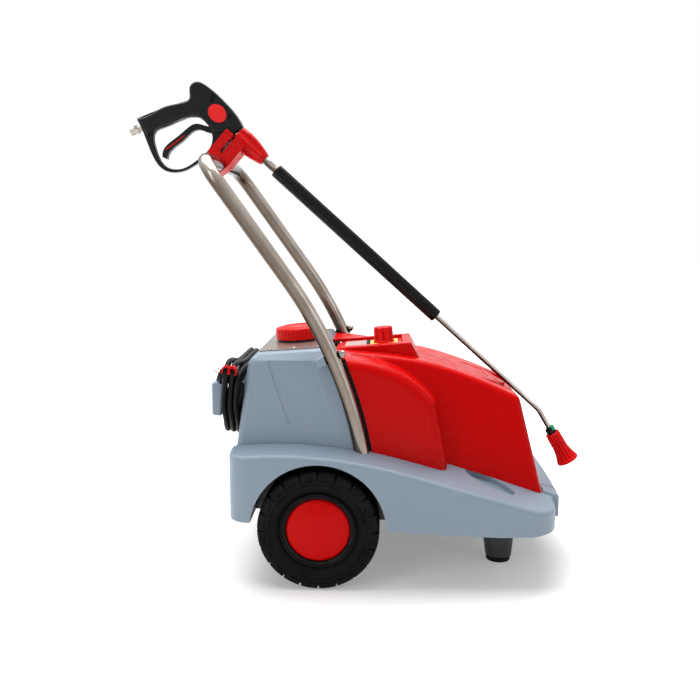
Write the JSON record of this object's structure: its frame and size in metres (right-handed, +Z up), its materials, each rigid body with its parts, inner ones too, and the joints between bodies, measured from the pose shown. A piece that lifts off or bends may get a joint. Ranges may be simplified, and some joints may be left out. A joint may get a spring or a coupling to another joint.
{
  "type": "high-pressure washer",
  "caption": "Wheeled cold-water high-pressure washer with red hood, water tank, steel push handle, wound mains lead, trigger gun and lance in its holder.",
  "frame": {"origin": "on the floor, below the middle of the box round the machine without its mains lead", "axes": "+Z up, +X to the nose with the lance's nozzle, +Y to the machine's left"},
  "size_m": [1.051, 0.568, 1.0863],
  "materials": {
    "tyre": "matt moulded rubber",
    "black_plastic": "fine grain",
    "dark_grey_plastic": "fine grain",
    "grey_plastic": "plain",
    "red_plastic": "semi-gloss moulded",
    "blue_grey_plastic": "satin rotomoulded",
    "yellow_plate": "printed plate, bare",
    "steel": "zinc plated",
    "stainless": "ground",
    "painted_frame": "powder coat",
    "cast_alloy": "cast",
    "brass": "machined",
    "rubber": "matt",
    "hose_rubber": "matt",
    "cable_black": "semi-matt sheath"
  },
  "bodies": {
    "machine": {"axle": "steel", "axle_fittings": "steel", "subframe": "painted_frame", "frame_bolts": "steel", "foot_brackets": "dark_grey_plastic", "foot_pads": "rubber", "handle_tube": "stainless", "handle_washers": "black_plastic", "handle_bolts": "stainless", "water_tank": "blue_grey_plastic", "tank_top_plate": "stainless", "plate_screws": "stainless", "filler_neck": "blue_grey_plastic", "float_valve": "grey_plastic", "motor_housing": "cast_alloy", "fan_cowl": "black_plastic", "terminal_box": "black_plastic", "motor_mounts": "rubber", "pump_crankcase": "cast_alloy", "pump_head": "brass", "unloader_valve": "brass", "hose_couplings": "brass", "water_hoses": "hose_rubber", "pressure_pipe": "stainless", "cable_hooks": "blue_grey_plastic", "plug": "cable_black", "plug_pins": "brass", "cord_coil": "cable_black", "cord_gland": "cable_black", "cord_tail": "cable_black", "cord_clip": "red_plastic", "hood": "red_plastic", "hood_seal": "rubber", "console_plates": "yellow_plate", "switch_body": "black_plastic", "gun_holder": "red_plastic", "chassis": "blue_grey_plastic"},
    "wheel_right": {"tyre_right": "tyre", "rim_right": "black_plastic", "hub_cap_right": "red_plastic", "wheel_bushes_right": "grey_plastic"},
    "wheel_left": {"tyre_left": "tyre", "rim_left": "black_plastic", "hub_cap_left": "red_plastic", "wheel_bushes_left": "grey_plastic"},
    "cap": {"filler_cap": "blue_grey_plastic"},
    "knob": {"switch_knob": "red_plastic"},
    "gun": {"gun_shell_right": "black_plastic", "gun_shell_left": "black_plastic", "gun_badges": "red_plastic", "gun_valve": "stainless", "lance_tube": "stainless", "lance_grip": "black_plastic", "nozzle_ring": "black_plastic"},
    "trigger": {"gun_trigger": "black_plastic"},
    "latch": {"trigger_latch": "red_plastic"},
    "nut": {"coupling_nut": "red_plastic"},
    "nozzle": {"nozzle_cone": "red_plastic"},
    "pump_rotor": {"motor_shaft": "steel"},
    "float": {"float_arm": "grey_plastic"}
  },
  "joints": [
    {"name": "wheel_right_spin", "type": "hinge", "parent": "machine", "child": "wheel_right", "pos_m": [-0.07305, -0.2415, 0.13], "axis": [0, 1, 0], "continuous": true},
    {"name": "wheel_left_spin", "type": "hinge", "parent": "machine", "child": "wheel_left", "pos_m": [-0.07305, 0.2415, 0.13], "axis": [0, 1, 0], "continuous": true},
    {"name": "filler_cap_lift", "type": "slide", "parent": "machine", "child": "cap", "axis": [-0.0698, 0, 0.9976], "range_m": [0, 0.07]},
    {"name": "switch_turn", "type": "hinge", "parent": "machine", "child": "knob", "pos_m": [0.06295, 0, 0.49205], "axis": [-0.081, 0, 0.9967], "range_deg": [0, 90]},
    {"name": "gun_lift", "type": "slide", "parent": "machine", "child": "gun", "axis": [0.6691, 0, 0.7431], "range_m": [0, 0.15]},
    {"name": "trigger_squeeze", "type": "hinge", "parent": "gun", "child": "trigger", "pos_m": [-0.32356, 0, 0.988], "axis": [0, 1, 0], "range_deg": [0, 8], "stiffness_Nm_per_rad": 2, "springref_deg": -20.05},
    {"name": "latch_swing", "type": "hinge", "parent": "trigger", "child": "latch", "pos_m": [-0.40273, 0, 0.96509], "axis": [0, 1, 0], "range_deg": [0, 28]},
    {"name": "nut_turn", "type": "hinge", "parent": "gun", "child": "nut", "pos_m": [-0.26024, 0, 0.95521], "axis": [0.7431, 0, -0.6691], "continuous": true},
    {"name": "nozzle_turn", "type": "hinge", "parent": "gun", "child": "nozzle", "pos_m": [0.46414, 0, 0.27701], "axis": [0.515, 0, -0.8572], "range_deg": [0, 180]},
    {"name": "pump_shaft_spin", "type": "hinge", "parent": "machine", "child": "pump_rotor", "pos_m": [0.17345, 0, 0.252], "axis": [1, 0, 0], "continuous": true},
    {"name": "float_swing", "type": "hinge", "parent": "machine", "child": "float", "pos_m": [-0.16905, 0.09, 0.432], "axis": [0, -1, 0], "range_deg": [0, 35]}
  ]
}
